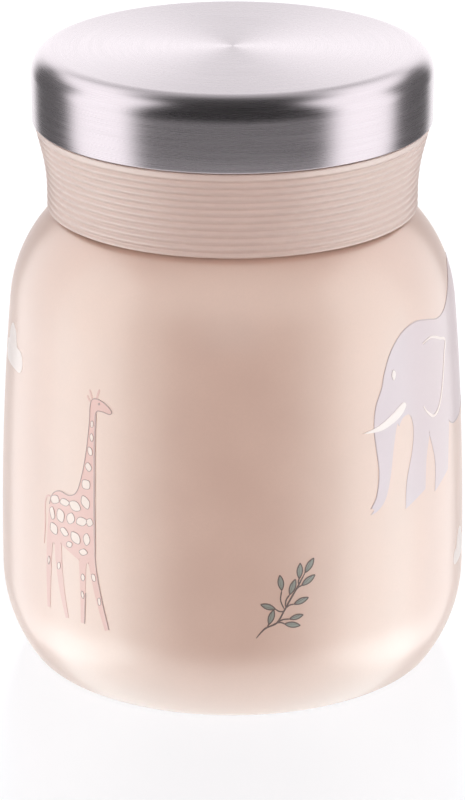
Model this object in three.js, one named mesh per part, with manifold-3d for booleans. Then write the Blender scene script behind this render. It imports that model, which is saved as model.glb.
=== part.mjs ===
// A vacuum-insulated baby food jar with a screw lid, in millimetres, +Z up.
// The origin is the middle of the standing ring, and every part is turned about the Z axis.

import * as THREE from "three";
import { mergeVertices, toCreasedNormals } from "three/addons/utils/BufferGeometryUtils.js";
import Module from "manifold-3d";

const wasm = await Module();
wasm.setup();

const { degToRad, lerp } = THREE.MathUtils;
const point = (radius, height) => new THREE.Vector2(radius, height);

// ---- Driving dimensions -------------------------------------------------------------------

const FACETS = 48; // sides of every turned part, so that nested walls stay parallel
const GAP = 0.3; // between parts that touch or are bonded
const SHEET = 0.5; // steel wall

// Jar: standing ring, rounded base, near-straight wall, shoulder, neck.
const RING_INNER = 36.9;
const RING_OUTER = 39.1;
const RECESS_FLOOR = 2.6; // height of the recessed floor above the standing plane
const RECESS_RADIUS = 36.4;
const BASE_ARCS = [
  { radius: 1.9, turn: 55, steps: 3 },
  { radius: 28.7, turn: 35, steps: 5 },
];
const WALL_ARCS = [
  { radius: 609, turn: 5.2, steps: 3 },
  { radius: 27.6, turn: 39.8, steps: 6 },
  { radius: 5, turn: 30, steps: 3 },
];
const WELD_GAP = 0.1; // between the shell and the base cup, along the hidden girth weld
const NECK_RADIUS = 31.9;
const NECK_TOP = 104.2;
const DIMPLE_RADIUS = 4;
const DIMPLE_DEPTH = 1.2;
const EVACUATION_HOLE = 0.8; // radius

// Getter, off to one side between the base and the liner.
const GETTER_X = 18;
const GETTER_RADIUS = 3.8;
const GETTER_HEIGHT = 2.5;
const CLIP_THICKNESS = 0.4;
const CLIP_TABLE = 5; // height of the strip's raised middle
const CLIP_WIDTH = 6;

// Inner vessel, which holds the food.
const LINER_RADIUS = 39.5;
const LINER_FLOOR = 8.6;
const LINER_BOTTOM_FILLET = 8;
const LINER_SHOULDER_START = 68;
const LINER_ARCS = [
  { radius: 12, turn: 60, steps: 4 },
  { radius: 5.8, turn: -60, steps: 3 },
];
const RIM_TOP = 105;
const FOIL_THICKNESS = 0.2;

// Lid: steel cap over a ribbed plastic shell.
const CAP_RADIUS = 38.5;
const CAP_BOTTOM = 108.12;
const CAP_TOP = 122.04;
const CAP_FILLET = 4.65;
const SKIRT_BOTTOM = 91.06;
const SKIRT_RADIUS = 35.84;
const SKIRT_BORE = 34.7;
const FLARE_START = 94.1;
const FLARE_END = 103;
const FLARE_RADIUS = 36;
const LEDGE = CAP_BOTTOM - GAP; // the cap's edge sits on this step
const RIBS = 11;
const RIB_PITCH = 1.41;
const RIB_DEPTH = 0.3;
const FIRST_GROOVE = 91.94;
const CORE_RADIUS = 35.6; // plastic wall inside the cap
const CORE_FILLET = 2.5;
const CRUSH_RIBS = 8;
const CRUSH_RIB_WIDTH = 1.6;
const CRUSH_RIB_RADIUS = 37.6;
const CRUSH_RIB_TOP = 116.5;
const DECK_TOP = 120.3;
const DECK_THICKNESS = 1.4;
const FOAM_BORE = 33.6;
const BOND_PAD_RADIUS = 30;

// Threaded lid liner and its plug.
const LINER_WALL_INNER = 33.3;
const LINER_WALL_OUTER = SKIRT_BORE - GAP;
const LINER_WALL_BOTTOM = 93.2;
const PLUG_RADIUS = 28.4;
const PLUG_BOTTOM = 97;
const PLASTIC = 1.4;
const CEILING = 107.5;

// Thread: three starts, right-handed. The lid's ridges run just under the neck's.
const LEAD = 12;
const STARTS = 3;
const THREAD_START = 96.6;
const THREAD_OFFSET = -1.5;
const RIDGE_ROOT_WIDTH = 1.5;
const RIDGE_CREST_WIDTH = 0.7;
const NECK_CREST = 33.0;
const LID_CREST = 32.25;
const NECK_SWEEP = 135;
const LID_SWEEP = 112.5;
const RUN_OUT = 0.16; // share of a ridge that fades in or out
const RIDGE_STEP = 360 / FACETS;

// ---- Materials ------------------------------------------------------------------------------

const material = (color, roughness, metalness) =>
  new THREE.MeshStandardMaterial({ color, roughness, metalness });

const PAINT = material(0xe7d0c6, 0.38, 0);
const BRUSHED_STEEL = material(0xc6bfc3, 0.32, 1);
const PLAIN_STEEL = material(0xb9b6b4, 0.28, 1);
const COPPER = material(0xb87348, 0.35, 1);
const PINK_PLASTIC = material(0xd9bdb5, 0.45, 0);
const WHITE_PLASTIC = material(0xe9e6e2, 0.5, 0);
const SILICONE = material(0xe3dcd6, 0.6, 0);
const FOAM = material(0xf2efe6, 0.95, 0);
const ADHESIVE = material(0xd8d5cc, 0.8, 0);
const GLASS = material(0x8aa39a, 0.15, 0);
const SINTERED = material(0x5d5a58, 0.9, 0.2);

// ---- Geometry helpers -----------------------------------------------------------------------

// Points along a run of tangent arcs in the (radius, height) plane. A positive turn bends to
// the left, which is towards the axis on the way up. An offset shifts the run to its left.
function arcRun(start, heading, arcs, offset = 0) {
  const left = (angle) => point(-Math.sin(angle), Math.cos(angle));
  let angle = degToRad(heading);
  let end = start.clone().addScaledVector(left(angle), offset);
  const points = [end];
  for (const { radius, turn, steps } of arcs) {
    const reach = Math.sign(turn) * radius - offset;
    const centre = end.clone().addScaledVector(left(angle), reach);
    const first = angle;
    for (let i = 1; i <= steps; i++) {
      angle = first + (degToRad(turn) * i) / steps;
      end = centre.clone().addScaledVector(left(angle), -reach);
      points.push(end);
    }
  }
  return points;
}

// A solid turned about Z from an outline that runs anticlockwise with the radius to the right.
function turned(outline) {
  return new THREE.LatheGeometry(outline, FACETS).rotateX(Math.PI / 2);
}

// An outline that is closed on itself, for a part with an open middle.
const closed = (outline) => [...outline, outline[0].clone()];

function toSolid(geometry) {
  const bare = geometry.clone();
  bare.deleteAttribute("normal");
  bare.deleteAttribute("uv");
  const merged = mergeVertices(bare, 1e-3);
  return new wasm.Manifold(
    new wasm.Mesh({
      numProp: 3,
      vertProperties: merged.attributes.position.array,
      triVerts: new Uint32Array(merged.index.array),
    }),
  );
}

function fromSolid(solid) {
  const mesh = solid.getMesh();
  const geometry = new THREE.BufferGeometry();
  geometry.setAttribute("position", new THREE.BufferAttribute(mesh.vertProperties, 3));
  geometry.setIndex(new THREE.BufferAttribute(mesh.triVerts, 1));
  return toCreasedNormals(geometry, degToRad(30));
}

function joined(base, additions) {
  return fromSolid(additions.reduce((solid, piece) => solid.add(toSolid(piece)), toSolid(base)));
}

// One thread ridge: a trapezoid swept up a helix, whose crest fades out at both ends.
function helicalRidge(root, crest, startAngle, startHeight, sweep) {
  const steps = Math.round(sweep / RIDGE_STEP);
  const positions = [];
  for (let i = 0; i <= steps; i++) {
    const share = i / steps;
    const angle = degToRad(startAngle + share * sweep);
    const height = startHeight + (LEAD * share * sweep) / 360;
    const full = Math.min(1, 0.1 + Math.min(share, 1 - share) / RUN_OUT);
    const top = lerp(root, crest, full);
    const section = [
      [root, -RIDGE_ROOT_WIDTH / 2],
      [top, -RIDGE_CREST_WIDTH / 2],
      [top, RIDGE_CREST_WIDTH / 2],
      [root, RIDGE_ROOT_WIDTH / 2],
    ];
    if (crest < root) section.reverse();
    for (const [radius, rise] of section) {
      positions.push(radius * Math.cos(angle), radius * Math.sin(angle), height + rise);
    }
  }
  const index = [0, 1, 2, 0, 2, 3];
  for (let i = 0; i < steps; i++) {
    for (let side = 0; side < 4; side++) {
      const a = 4 * i + side;
      const b = 4 * i + ((side + 1) % 4);
      index.push(a, a + 4, b, b, a + 4, b + 4);
    }
  }
  const last = 4 * steps;
  index.push(last, last + 2, last + 1, last, last + 3, last + 2);
  const geometry = new THREE.BufferGeometry();
  geometry.setAttribute("position", new THREE.Float32BufferAttribute(positions, 3));
  geometry.setIndex(index);
  return geometry;
}

const startAngles = Array.from({ length: STARTS }, (_, i) => (360 * i) / STARTS);

// ---- Jar ------------------------------------------------------------------------------------

const baseOutside = arcRun(point(RING_OUTER, 0), 0, BASE_ARCS);
const weld = baseOutside.at(-1);

// Painted outer wall and shoulder, drawn in to a neck that carries the thread.
function outerShell() {
  const start = point(weld.x, weld.y + WELD_GAP);
  const shoulderEnd = arcRun(start, 90, WALL_ARCS).at(-1);
  const neckTurn = -WALL_ARCS.reduce((sum, arc) => sum + arc.turn, 0);
  const neckFillet = (shoulderEnd.x - NECK_RADIUS) / (1 - Math.cos(degToRad(neckTurn)));
  const arcs = [...WALL_ARCS, { radius: neckFillet, turn: neckTurn, steps: 3 }];
  const body = turned(
    closed([
      ...arcRun(start, 90, arcs),
      point(NECK_RADIUS, NECK_TOP),
      point(NECK_RADIUS - SHEET, NECK_TOP),
      ...arcRun(start, 90, arcs, SHEET).reverse(),
    ]),
  );
  const root = NECK_RADIUS - 0.6 * SHEET;
  const ridges = startAngles.map((angle) =>
    helicalRidge(root, NECK_CREST, angle, THREAD_START, NECK_SWEEP),
  );
  return joined(body, ridges);
}

// Rounded base with a standing ring, a recessed floor and the evacuation dimple in its middle.
function baseCup() {
  const dimpleRoof = RECESS_FLOOR + DIMPLE_DEPTH;
  const slope = SHEET * 0.9;
  return turned(
    closed([
      point(EVACUATION_HOLE, dimpleRoof),
      point(DIMPLE_RADIUS - slope, dimpleRoof),
      point(DIMPLE_RADIUS, RECESS_FLOOR),
      point(RECESS_RADIUS, RECESS_FLOOR),
      point(RING_INNER, 0),
      ...baseOutside,
      ...arcRun(point(RING_OUTER, 0), 0, BASE_ARCS, SHEET).reverse(),
      point(RING_INNER + SHEET, SHEET),
      point(RECESS_RADIUS + SHEET, RECESS_FLOOR + SHEET),
      point(DIMPLE_RADIUS + slope, RECESS_FLOOR + SHEET),
      point(DIMPLE_RADIUS, dimpleRoof + SHEET),
      point(EVACUATION_HOLE, dimpleRoof + SHEET),
    ]),
  );
}

// Seamless inner vessel, with a rim that turns out over the top of the neck.
function innerLiner() {
  const floorArcs = [{ radius: LINER_BOTTOM_FILLET, turn: 90, steps: 4 }];
  const corner = point(LINER_RADIUS - LINER_BOTTOM_FILLET, LINER_FLOOR);
  const shoulder = point(LINER_RADIUS, LINER_SHOULDER_START);
  const outside = [...arcRun(corner, 0, floorArcs), ...arcRun(shoulder, 90, LINER_ARCS)];
  const inside = [
    ...arcRun(corner, 0, floorArcs, SHEET),
    ...arcRun(shoulder, 90, LINER_ARCS, SHEET),
  ];
  const neck = outside.at(-1).x;
  return turned([
    point(0, LINER_FLOOR),
    ...outside,
    point(neck, RIM_TOP - SHEET),
    point(NECK_RADIUS, RIM_TOP - SHEET),
    point(NECK_RADIUS, RIM_TOP - 0.4 * SHEET),
    point(NECK_RADIUS - 0.3 * SHEET, RIM_TOP),
    point(neck - 0.6 * SHEET, RIM_TOP),
    point(neck - SHEET, RIM_TOP - 0.4 * SHEET),
    ...inside.reverse(),
    point(0, LINER_FLOOR + SHEET),
  ]);
}

// Copper sleeve round the straight part of the liner, which holds back radiant heat.
function copperFoil() {
  const inner = LINER_RADIUS + GAP;
  const outer = inner + FOIL_THICKNESS;
  const bottom = LINER_FLOOR + LINER_BOTTOM_FILLET;
  return turned(
    closed([
      point(outer, bottom),
      point(outer, LINER_SHOULDER_START),
      point(inner, LINER_SHOULDER_START),
      point(inner, bottom),
    ]),
  );
}

// Bent strip, spot-welded to the base inside the vacuum, which carries the getter.
function getterClip() {
  const foot = RECESS_FLOOR + SHEET + GAP;
  const half = [
    point(4.7, CLIP_TABLE - CLIP_THICKNESS),
    point(5.2, foot),
    point(8, foot),
    point(8, foot + CLIP_THICKNESS),
    point(5.5, foot + CLIP_THICKNESS),
    point(5, CLIP_TABLE),
  ];
  const mirrored = half.map(({ x, y }) => point(-x, y)).reverse();
  const strip = new THREE.ExtrudeGeometry(new THREE.Shape([...half, ...mirrored]), {
    depth: CLIP_WIDTH,
    bevelEnabled: false,
  });
  return strip.translate(0, 0, -CLIP_WIDTH / 2).rotateX(Math.PI / 2);
}

function getterPellet() {
  return new THREE.CylinderGeometry(GETTER_RADIUS, GETTER_RADIUS, GETTER_HEIGHT, FACETS / 2)
    .rotateX(Math.PI / 2)
    .translate(0, 0, CLIP_TABLE + GAP + GETTER_HEIGHT / 2);
}

// Solder glass that closes the evacuation hole from below.
function glassSealBead() {
  const top = RECESS_FLOOR + DIMPLE_DEPTH - GAP;
  return turned([
    point(0, top - 0.9),
    point(1.8, top - 0.8),
    point(3.1, top - 0.4),
    point(3.1, top),
    point(0, top),
  ]);
}

// Steel disc with a low flange, bonded into the recess under the base.
function baseCover() {
  const radius = RECESS_RADIUS - 0.2;
  const thickness = 0.4;
  const bottom = 0.7;
  const flangeTop = RECESS_FLOOR - GAP;
  return turned([
    point(0, bottom),
    point(radius - thickness, bottom),
    point(radius, bottom + thickness),
    point(radius, flangeTop),
    point(radius - thickness, flangeTop),
    point(radius - thickness, bottom + 1.5 * thickness),
    point(radius - 1.5 * thickness, bottom + thickness),
    point(0, bottom + thickness),
  ]);
}

// ---- Lid ------------------------------------------------------------------------------------

// Deep-drawn brushed steel cap with a rounded top edge.
function lidCap() {
  const fillet = [{ radius: CAP_FILLET, turn: 90, steps: 5 }];
  const edge = point(CAP_RADIUS, CAP_TOP - CAP_FILLET);
  return turned([
    point(0, CAP_TOP - SHEET),
    ...arcRun(edge, 90, fillet, SHEET).reverse(),
    point(CAP_RADIUS - SHEET, CAP_BOTTOM),
    point(CAP_RADIUS, CAP_BOTTOM),
    ...arcRun(edge, 90, fillet),
    point(0, CAP_TOP),
  ]);
}

// Outer radius of the skirt at a height: a cylinder, a concave flare, then a cone.
function skirtRadius(height) {
  const climb = Math.max(0, Math.min(height, FLARE_END) - FLARE_START);
  const flare = FLARE_RADIUS - Math.sqrt(FLARE_RADIUS ** 2 - climb ** 2);
  const coneSlope = (FLARE_END - FLARE_START) / FLARE_RADIUS;
  return SKIRT_RADIUS + flare + Math.max(0, height - FLARE_END) * coneSlope;
}

// Pink plastic shell: grooved skirt below the cap, and a ribbed core with a deck inside it.
function lidShell() {
  const grooves = Array.from({ length: RIBS }, (_, i) => FIRST_GROOVE + i * RIB_PITCH);
  const skirt = grooves.flatMap((groove) => {
    const crest = groove + RIB_PITCH / 2;
    return [point(skirtRadius(groove) - RIB_DEPTH, groove), point(skirtRadius(crest), crest)];
  });
  const coreFillet = [{ radius: CORE_FILLET, turn: 90, steps: 3 }];
  const body = turned([
    point(0, DECK_TOP - DECK_THICKNESS),
    point(FOAM_BORE, DECK_TOP - DECK_THICKNESS),
    point(FOAM_BORE, CEILING + PLASTIC + 2 * GAP),
    point(SKIRT_BORE, CEILING + PLASTIC + GAP),
    point(SKIRT_BORE, SKIRT_BOTTOM + GAP),
    point(SKIRT_BORE + GAP, SKIRT_BOTTOM),
    point(SKIRT_RADIUS - GAP, SKIRT_BOTTOM),
    point(SKIRT_RADIUS, SKIRT_BOTTOM + GAP),
    ...skirt,
    point(skirtRadius(LEDGE), LEDGE),
    point(CORE_RADIUS, LEDGE),
    ...arcRun(point(CORE_RADIUS, DECK_TOP - CORE_FILLET), 90, coreFillet),
    point(0, DECK_TOP),
  ]);
  const depth = CRUSH_RIB_RADIUS - CORE_RADIUS + 1;
  const height = CRUSH_RIB_TOP - LEDGE + 1;
  const ribs = Array.from({ length: CRUSH_RIBS }, (_, i) =>
    new THREE.BoxGeometry(depth, CRUSH_RIB_WIDTH, height)
      .translate(CRUSH_RIB_RADIUS - depth / 2, 0, CRUSH_RIB_TOP - height / 2)
      .rotateZ((i * 2 * Math.PI) / CRUSH_RIBS),
  );
  return joined(body, ribs);
}

// Food-side plastic: a hollow plug that reaches into the mouth, and the threaded wall round it.
function lidInner() {
  const chamfer = 0.8;
  const body = turned([
    point(0, PLUG_BOTTOM),
    point(PLUG_RADIUS - chamfer, PLUG_BOTTOM),
    point(PLUG_RADIUS, PLUG_BOTTOM + chamfer),
    point(PLUG_RADIUS, CEILING),
    point(LINER_WALL_INNER, CEILING),
    point(LINER_WALL_INNER, LINER_WALL_BOTTOM),
    point(LINER_WALL_OUTER, LINER_WALL_BOTTOM),
    point(LINER_WALL_OUTER, CEILING + PLASTIC),
    point(PLUG_RADIUS - PLASTIC, CEILING + PLASTIC),
    point(PLUG_RADIUS - PLASTIC, PLUG_BOTTOM + PLASTIC),
    point(0, PLUG_BOTTOM + PLASTIC),
  ]);
  const root = LINER_WALL_INNER + 0.4;
  const ridges = startAngles.map((angle) =>
    helicalRidge(root, LID_CREST, angle, THREAD_START + THREAD_OFFSET, LID_SWEEP),
  );
  return joined(body, ridges);
}

// Insulating foam that fills the plug and the space under the deck.
function lidFoam() {
  const step = CEILING + PLASTIC + 2 * GAP;
  const narrow = PLUG_RADIUS - PLASTIC - GAP;
  return turned([
    point(0, PLUG_BOTTOM + PLASTIC + GAP),
    point(narrow, PLUG_BOTTOM + PLASTIC + GAP),
    point(narrow, step),
    point(FOAM_BORE - GAP, step + GAP),
    point(FOAM_BORE - GAP, DECK_TOP - DECK_THICKNESS - GAP),
    point(0, DECK_TOP - DECK_THICKNESS - GAP),
  ]);
}

// Silicone ring between the jar's rim and the lid's ceiling.
function sealRing() {
  const inner = PLUG_RADIUS + GAP;
  const outer = NECK_RADIUS + 0.5;
  const bottom = RIM_TOP + GAP;
  const top = CEILING - GAP;
  return turned(
    closed([
      point(inner, bottom + 0.6),
      point(inner + 0.9, bottom),
      point(outer - 0.3, bottom),
      point(outer, bottom + 0.3),
      point(outer, top),
      point(inner, top),
    ]),
  );
}

// Double-sided pad that holds the cap on the deck.
function capBondPad() {
  const bottom = DECK_TOP + GAP;
  const top = CAP_TOP - SHEET - GAP;
  return turned([
    point(0, bottom),
    point(BOND_PAD_RADIUS, bottom),
    point(BOND_PAD_RADIUS, top),
    point(0, top),
  ]);
}

// ---- Assembly -------------------------------------------------------------------------------

function part(name, geometry, look) {
  const mesh = new THREE.Mesh(geometry, look);
  mesh.name = name;
  return mesh;
}

const jar = new THREE.Group();
jar.add(
  part("outer_shell", outerShell(), PAINT),
  part("base_cup", baseCup(), PAINT),
  part("inner_liner", innerLiner(), PLAIN_STEEL),
  part("copper_foil", copperFoil(), COPPER),
  part("glass_seal_bead", glassSealBead(), GLASS),
  part("base_cover", baseCover(), BRUSHED_STEEL),
);

const getter = new THREE.Group();
getter.position.x = GETTER_X;
getter.add(
  part("getter_clip", getterClip(), PLAIN_STEEL),
  part("getter_pellet", getterPellet(), SINTERED),
);
jar.add(getter);

const lid = new THREE.Group();
lid.add(
  part("lid_cap", lidCap(), BRUSHED_STEEL),
  part("lid_shell", lidShell(), PINK_PLASTIC),
  part("lid_inner", lidInner(), WHITE_PLASTIC),
  part("lid_foam", lidFoam(), FOAM),
  part("seal_ring", sealRing(), SILICONE),
  part("cap_bond_pad", capBondPad(), ADHESIVE),
);

const foodJar = new THREE.Group();
foodJar.add(jar, lid);

export default foodJar;
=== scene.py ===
# The looks of an insulated baby food jar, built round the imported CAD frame. Lengths in the
# outlines are millimetres in the frame's own axes, and meshes are written in metres.

import math

import bpy
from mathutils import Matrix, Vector
from mathutils.geometry import delaunay_2d_cdt


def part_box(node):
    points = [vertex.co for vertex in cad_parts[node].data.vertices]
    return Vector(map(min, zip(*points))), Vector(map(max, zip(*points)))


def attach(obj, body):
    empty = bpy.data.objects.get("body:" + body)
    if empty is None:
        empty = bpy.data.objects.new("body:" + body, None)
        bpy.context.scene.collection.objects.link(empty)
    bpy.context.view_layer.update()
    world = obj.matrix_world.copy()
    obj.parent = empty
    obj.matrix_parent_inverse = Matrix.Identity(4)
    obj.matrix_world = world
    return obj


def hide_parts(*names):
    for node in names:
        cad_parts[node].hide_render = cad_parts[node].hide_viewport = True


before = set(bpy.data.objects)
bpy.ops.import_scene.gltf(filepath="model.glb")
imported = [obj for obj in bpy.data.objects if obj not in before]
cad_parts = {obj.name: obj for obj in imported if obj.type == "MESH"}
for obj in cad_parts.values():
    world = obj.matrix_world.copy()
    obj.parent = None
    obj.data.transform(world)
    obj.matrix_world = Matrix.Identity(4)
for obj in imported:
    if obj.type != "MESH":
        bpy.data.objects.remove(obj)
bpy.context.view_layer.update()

MM = 0.001
TAU = 2 * math.pi


def high(node):
    """Top corner of a node's box, in millimetres."""
    return [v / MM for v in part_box(node)[1]]


def low(node):
    """Bottom corner of a node's box, in millimetres."""
    return [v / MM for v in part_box(node)[0]]


# ---- Sizes, from the frame's boxes and the shape of each part ---------------------------------

SHEET = 0.5  # thickness of the drawn steel
NECK_TOP = high("outer_shell")[2]
LINER_RADIUS, _, RIM_TOP = high("inner_liner")
LINER_FLOOR = low("inner_liner")[2]
CAP_RADIUS, _, CAP_TOP = high("lid_cap")
CAP_BOTTOM = low("lid_cap")[2]
SKIRT_BOTTOM = low("lid_shell")[2]
INNER_RADIUS = high("lid_inner")[0]
INNER_BOTTOM = low("lid_inner")[2]
PLUG_BOTTOM = 97.0
CEILING = 107.5  # the lid's inner face over the jar's rim
PLASTIC = 1.4  # thickness of the lid's moulded walls
PLUG_RADIUS = 28.4
SEAL_RADIUS, _, SEAL_TOP = high("seal_ring")
SEAL_BOTTOM = low("seal_ring")[2]
COVER_RADIUS, _, COVER_TOP = high("base_cover")
COVER_BOTTOM = low("base_cover")[2]

RING_INNER = 36.9  # the ring that the jar stands on
RING_OUTER = 39.1
RECESS_FLOOR = 2.6
RECESS_RADIUS = 36.4
NECK_RADIUS = 31.9
THREAD_CREST = 33.0
LID_CREST = 32.25
LINER_NECK = 30.6
CAP_FILLET = 4.65

# Tangent arcs of the wall, as (radius, turn in degrees). A positive turn bends to the left.
BASE_ARCS = [(1.9, 55), (28.7, 35)]
WALL_ARCS = [(609, 5.2), (27.6, 39.8), (5, 30)]

THREAD_LEAD = 12
THREAD_STARTS = 3
THREAD_HEIGHT = 96.6  # where a ridge starts on the neck
THREAD_HALF_WIDTH = 0.85
RUN_OUT = 0.14  # share of a ridge's length in which it rises or dies away
NECK_SWEEP = 135  # degrees that a ridge runs round
LID_SWEEP = 112.5  # the same in the lid
LID_THREAD_DROP = 1.5  # how far a lid ridge starts below a neck ridge

RIBS = 11
RIB_PITCH = 1.41
RIB_DEPTH = 0.42
FIRST_GROOVE = 91.94  # height of the lowest groove


# ---- Outlines in the (radius, height) plane ---------------------------------------------------

def arc_run(start, heading, arcs, offset=0.0, step=3.0):
    """Points along tangent arcs. An offset shifts the run to its left."""
    angle = math.radians(heading)
    r = start[0] - math.sin(angle) * offset
    z = start[1] + math.cos(angle) * offset
    points = [(r, z)]
    for radius, turn in arcs:
        reach = math.copysign(radius, turn) - offset
        centre_r = r - math.sin(angle) * reach
        centre_z = z + math.cos(angle) * reach
        steps = max(3, math.ceil(abs(turn) / step), math.ceil(radius * math.radians(abs(turn)) / 3))
        first = angle
        for i in range(1, steps + 1):
            angle = first + math.radians(turn) * i / steps
            r = centre_r + math.sin(angle) * reach
            z = centre_z - math.cos(angle) * reach
            points.append((r, z))
    return points


def rounded(corners, step=15.0):
    """A closed outline whose corners, given as (radius, height, fillet), are rounded."""
    points = []
    count = len(corners)
    for i, (r, z, fillet) in enumerate(corners):
        here = Vector((r, z))
        back = Vector(corners[i - 1][:2]) - here
        ahead = Vector(corners[(i + 1) % count][:2]) - here
        if fillet <= 0 or back.length == 0 or ahead.length == 0:
            points.append((r, z))
            continue
        opening = back.angle(ahead)
        reach = min(fillet / math.tan(opening / 2), 0.48 * back.length, 0.48 * ahead.length)
        radius = reach * math.tan(opening / 2)
        start = here + back.normalized() * reach
        centre = here + (back.normalized() + ahead.normalized()).normalized() * (
            radius / math.sin(opening / 2)
        )
        arm = start - centre
        sweep = math.pi - opening
        side = 1 if back.cross(ahead) < 0 else -1
        steps = max(2, math.ceil(math.degrees(sweep) / step))
        for k in range(steps + 1):
            turn = side * sweep * k / steps
            points.append(
                (
                    centre.x + arm.x * math.cos(turn) - arm.y * math.sin(turn),
                    centre.y + arm.x * math.sin(turn) + arm.y * math.cos(turn),
                )
            )
    return points


base_outside = arc_run((RING_OUTER, 0), 0, BASE_ARCS)
wall_outside = arc_run(base_outside[-1], 90, WALL_ARCS)
body_outside = base_outside + wall_outside[1:]


def wall_radius(height):
    """Outer radius of the painted body at a height."""
    for (r0, z0), (r1, z1) in zip(body_outside, body_outside[1:]):
        if z0 <= height <= z1:
            return r0 + (r1 - r0) * (height - z0) / (z1 - z0)
    return body_outside[-1][0]


# ---- Meshes -----------------------------------------------------------------------------------

def mesh_object(name, vertices, faces, material, sharp=35):
    """A smooth-shaded object whose edges are sharp above an angle in degrees."""
    mesh = bpy.data.meshes.new(name)
    mesh.from_pydata([(x * MM, y * MM, z * MM) for x, y, z in vertices], [], faces)
    mesh.validate()
    for polygon in mesh.polygons:
        polygon.use_smooth = True
    mesh.set_sharp_from_angle(angle=math.radians(sharp))
    mesh.materials.append(material)
    piece = bpy.data.objects.new(name, mesh)
    bpy.context.scene.collection.objects.link(piece)
    return piece


def turned(name, outline, material, segments=192, shape=None, sharp=35):
    """A solid of revolution from a closed anticlockwise outline, radius to the right.

    shape(angle, radius, height) may move a point in or out.
    """
    vertices = []
    rings = []
    for r, z in outline:
        if r < 1e-6:
            rings.append([len(vertices)] * segments)
            vertices.append((0, 0, z))
            continue
        ring = []
        for i in range(segments):
            angle = TAU * i / segments
            radius = shape(angle, r, z) if shape else r
            ring.append(len(vertices))
            vertices.append((radius * math.cos(angle), radius * math.sin(angle), z))
        rings.append(ring)
    faces = []
    for here, there in zip(rings, rings[1:] + rings[:1]):
        for i in range(segments):
            k = (i + 1) % segments
            corners = [here[i], here[k], there[k], there[i]]
            face = list(dict.fromkeys(corners))
            if len(face) > 2:
                faces.append(face)
    return mesh_object(name, vertices, faces, material, sharp)


# ---- Materials --------------------------------------------------------------------------------

class Nodes:
    """A material, and a short way to write its node tree."""

    def __init__(self, name):
        self.material = bpy.data.materials.new(name)
        self.material.use_nodes = True
        self.tree = self.material.node_tree
        self.shader = self.tree.nodes["Principled BSDF"]

    def add(self, kind, inputs=None, **settings):
        node = self.tree.nodes.new(kind)
        for key, value in settings.items():
            setattr(node, key, value)
        for key, value in (inputs or {}).items():
            self.set(node.inputs[key], value)
        return node

    def set(self, socket, value):
        if isinstance(value, bpy.types.NodeSocket):
            self.tree.links.new(value, socket)
        else:
            socket.default_value = value

    def maths(self, operation, a, b=0.0):
        return self.add("ShaderNodeMath", {0: a, 1: b}, operation=operation).outputs[0]

    def place(self):
        """Object coordinates, in metres."""
        return self.add("ShaderNodeTexCoord").outputs["Object"]

    def split(self, vector):
        """X, Y and Z of a vector."""
        return tuple(self.add("ShaderNodeSeparateXYZ", {0: vector}).outputs)

    def joined(self, x, y, z=0.0):
        """A vector made of X, Y and Z."""
        return self.add("ShaderNodeCombineXYZ", {0: x, 1: y, 2: z}).outputs[0]

    def length(self, vector):
        return self.add("ShaderNodeVectorMath", {0: vector}, operation="LENGTH").outputs["Value"]

    def noise(self, vector, scale, detail=3.0, roughness=0.5):
        inputs = {"Vector": vector, "Scale": scale, "Detail": detail, "Roughness": roughness}
        return self.add("ShaderNodeTexNoise", inputs).outputs["Fac"]

    def between(self, factor, low_value, high_value, from_low=0.3, from_high=0.7):
        inputs = {
            "Value": factor,
            "From Min": from_low,
            "From Max": from_high,
            "To Min": low_value,
            "To Max": high_value,
        }
        return self.add("ShaderNodeMapRange", inputs).outputs["Result"]

    def mix(self, factor, a, b):
        node = self.add("ShaderNodeMix", data_type="RGBA")
        self.set(node.inputs["Factor"], factor)
        self.set(node.inputs["A"], a)
        self.set(node.inputs["B"], b)
        return node.outputs["Result"]

    def bump(self, height, strength, distance, normal=None):
        inputs = {"Height": height, "Strength": strength, "Distance": distance}
        if normal is not None:
            inputs["Normal"] = normal
        return self.add("ShaderNodeBump", inputs).outputs["Normal"]

    def finish(self, **sockets):
        """Sets the shader's sockets and gives the material."""
        names = {"base": "Base Color", "rough": "Roughness", "metal": "Metallic", "normal": "Normal"}
        for key, value in sockets.items():
            self.set(self.shader.inputs[names.get(key, key)], value)
        return self.material


def tone(colour, factor):
    """The colour made lighter or darker, with alpha."""
    return tuple(min(1.0, c * factor) for c in colour) + (1.0,)


def smooth_coating(name, colour, rough, coat=0.0, grain=0.06, spread=0.025):
    """Satin paint, print or moulded plastic: faint mottling and a fine orange-peel grain.

    Noise scales are per metre, and bump distances are metres.
    """
    n = Nodes(name)
    place = n.place()
    cloud = n.noise(place, 90, 4)
    speckle = n.noise(place, 2600, 2)
    base = n.mix(n.between(cloud, 0, 1), tone(colour, 1 - spread), tone(colour, 1 + spread))
    base = n.mix(n.between(speckle, 0, 0.35), base, tone(colour, 1 - 2 * spread))
    roughness = n.between(cloud, rough - 0.03, rough + 0.03)
    peel = n.bump(n.noise(place, 900, 3), grain, 0.0001)
    fine = n.bump(speckle, grain, 0.00004, peel)
    n.set(n.shader.inputs["Coat Weight"], coat)
    n.set(n.shader.inputs["Coat Roughness"], 0.22)
    return n.finish(base=base, rough=roughness, normal=fine)


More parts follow.
